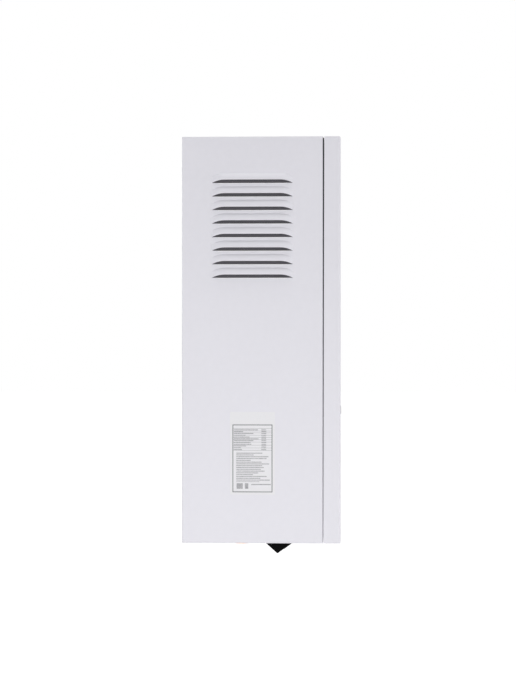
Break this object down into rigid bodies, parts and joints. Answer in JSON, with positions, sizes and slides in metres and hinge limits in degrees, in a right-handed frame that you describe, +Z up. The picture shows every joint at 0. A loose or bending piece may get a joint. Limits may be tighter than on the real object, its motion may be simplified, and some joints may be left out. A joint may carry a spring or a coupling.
{
  "type": "electric boiler",
  "caption": "Wall-hung electric heating boiler: folded sheet casing with louvered sides, lift-off front cover, heating vessel, pump, expansion vessel and controls.",
  "frame": {"origin": "on the wall, midway between the two screw holes of the wall bracket", "axes": "+Z up, -Y is the front with the cover and controls, +X to the right of someone facing the front"},
  "size_m": [0.391, 0.232, 0.6177],
  "materials": {
    "white_coat": "white powder coat with fine orange peel",
    "zinc_sheet": "zinc-plated sheet",
    "zinc_screw": "zinc-plated screws",
    "foam_black": "black foam rubber strip",
    "sticker": "printed film",
    "steel": "stainless steel",
    "jacket_foam": "closed-cell insulation foam",
    "rubber": "moulded rubber",
    "brass": "machined brass",
    "rod_steel": "sheathed heating rod",
    "terminal_metal": "nickel-plated brass on ceramic",
    "float_plastic": "moulded plastic",
    "red_enamel": "red enamel",
    "copper": "drawn copper tube",
    "pump_iron": "painted cast iron",
    "pump_red": "painted motor can",
    "black_plastic": "black moulded plastic",
    "red_plastic": "red moulded plastic",
    "gauge_metal": "chromed case with white dial",
    "needle_black": "black needle",
    "gauge_glass": "clear lens",
    "board_green": "lacquered circuit board",
    "part_black": "relays and moulded components",
    "sink_aluminium": "extruded aluminium",
    "terminal_plastic": "grey polyamide terminals",
    "fascia_black": "gloss black panel",
    "key_grey": "grey key caps",
    "wire": "insulated wire"
  },
  "bodies": {
    "root": {"wall_bracket": "zinc_sheet", "back_panel": "white_coat", "side_panel_left": "white_coat", "side_panel_right": "white_coat", "top_panel": "white_coat", "bottom_panel": "white_coat", "cover_seal": "foam_black", "cover_screws": "zinc_screw", "rating_plate": "sticker", "tank": "steel", "tank_jacket": "jacket_foam", "tank_bands": "zinc_sheet", "flange_gasket": "rubber", "element_flange": "brass", "heating_rods": "rod_steel", "flange_bolts": "zinc_screw", "element_terminals": "terminal_metal", "air_vent": "brass", "vessel_rear_shell": "red_enamel", "vessel_front_shell": "red_enamel", "vessel_ring": "zinc_sheet", "vessel_membrane": "rubber", "vessel_pipe": "copper", "pump_housing": "pump_iron", "pump_motor": "pump_red", "union_nuts": "brass", "return_pipe": "brass", "pump_pipe": "copper", "supply_pipes": "copper", "flow_sensor": "black_plastic", "safety_valve": "brass", "drain_cock": "brass", "switch_housing": "black_plastic", "switch_frame": "black_plastic", "pressure_gauge": "gauge_metal", "gauge_lens": "gauge_glass", "electronics_tray": "zinc_sheet", "main_board": "board_green", "board_parts": "part_black", "heat_sink": "sink_aluminium", "terminal_block": "terminal_plastic", "cutout": "float_plastic", "display_bracket": "zinc_sheet", "display_module": "black_plastic", "cable_glands": "rubber", "wiring": "wire"},
    "front_cover_body": {"front_cover": "white_coat", "fascia": "fascia_black"},
    "main_switch_body": {"main_switch": "red_plastic"},
    "needle_body": {"gauge_needle": "needle_black"},
    "key_minus_body": {"key_minus": "key_grey"},
    "key_plus_body": {"key_plus": "key_grey"},
    "key_menu_body": {"key_menu": "key_grey"},
    "pump_rotor_body": {"pump_rotor": "steel"},
    "pump_knob_body": {"pump_knob": "black_plastic"},
    "safety_cap_body": {"safety_cap": "red_plastic"},
    "reset_button_body": {"reset_button": "red_plastic"},
    "drain_lever_body": {"drain_lever": "red_plastic"},
    "flow_rotor_body": {"flow_rotor": "float_plastic"},
    "vent_float_body": {"vent_float": "float_plastic"}
  },
  "joints": [
    {"name": "cover_pull", "type": "slide", "parent": "root", "child": "front_cover_body", "axis": [0, -1, 0], "range_m": [0, 0.25]},
    {"name": "main_switch_rock", "type": "hinge", "parent": "root", "child": "main_switch_body", "pos_m": [-0.056, -0.1487, -0.56101], "axis": [1, 0, 0], "range_deg": [0, 16]},
    {"name": "needle_turn", "type": "hinge", "parent": "root", "child": "needle_body", "pos_m": [0.012, -0.15412, -0.55979], "axis": [0, -0.5873, -0.8094], "range_deg": [-120, 120]},
    {"name": "key_minus_press", "type": "slide", "parent": "root", "child": "key_minus_body", "axis": [0, 1, 0], "range_m": [0, 0.0008], "stiffness_N_per_m": 600},
    {"name": "key_plus_press", "type": "slide", "parent": "root", "child": "key_plus_body", "axis": [0, 1, 0], "range_m": [0, 0.0008], "stiffness_N_per_m": 600},
    {"name": "key_menu_press", "type": "slide", "parent": "root", "child": "key_menu_body", "axis": [0, 1, 0], "range_m": [0, 0.0008], "stiffness_N_per_m": 600},
    {"name": "pump_spin", "type": "hinge", "parent": "root", "child": "pump_rotor_body", "pos_m": [0.095, -0.08, -0.425], "axis": [0, 1, 0], "continuous": true},
    {"name": "pump_knob_turn", "type": "hinge", "parent": "root", "child": "pump_knob_body", "pos_m": [0.149, -0.163, -0.425], "axis": [0, -1, 0], "range_deg": [0, 90]},
    {"name": "safety_cap_turn", "type": "hinge", "parent": "root", "child": "safety_cap_body", "pos_m": [0.158, -0.08, -0.459], "axis": [0, 0, 1], "range_deg": [0, 90]},
    {"name": "reset_press", "type": "slide", "parent": "root", "child": "reset_button_body", "axis": [0, 1, 0], "range_m": [0, 0.002], "stiffness_N_per_m": 400},
    {"name": "drain_turn", "type": "hinge", "parent": "root", "child": "drain_lever_body", "pos_m": [0.095, -0.118, -0.517], "axis": [0, -1, 0], "range_deg": [0, 90]},
    {"name": "flow_spin", "type": "hinge", "parent": "root", "child": "flow_rotor_body", "pos_m": [-0.045, -0.125, -0.331], "axis": [0, 0, 1], "continuous": true},
    {"name": "float_rise", "type": "slide", "parent": "root", "child": "vent_float_body", "axis": [0, 0, 1], "range_m": [0, 0.008]}
  ]
}
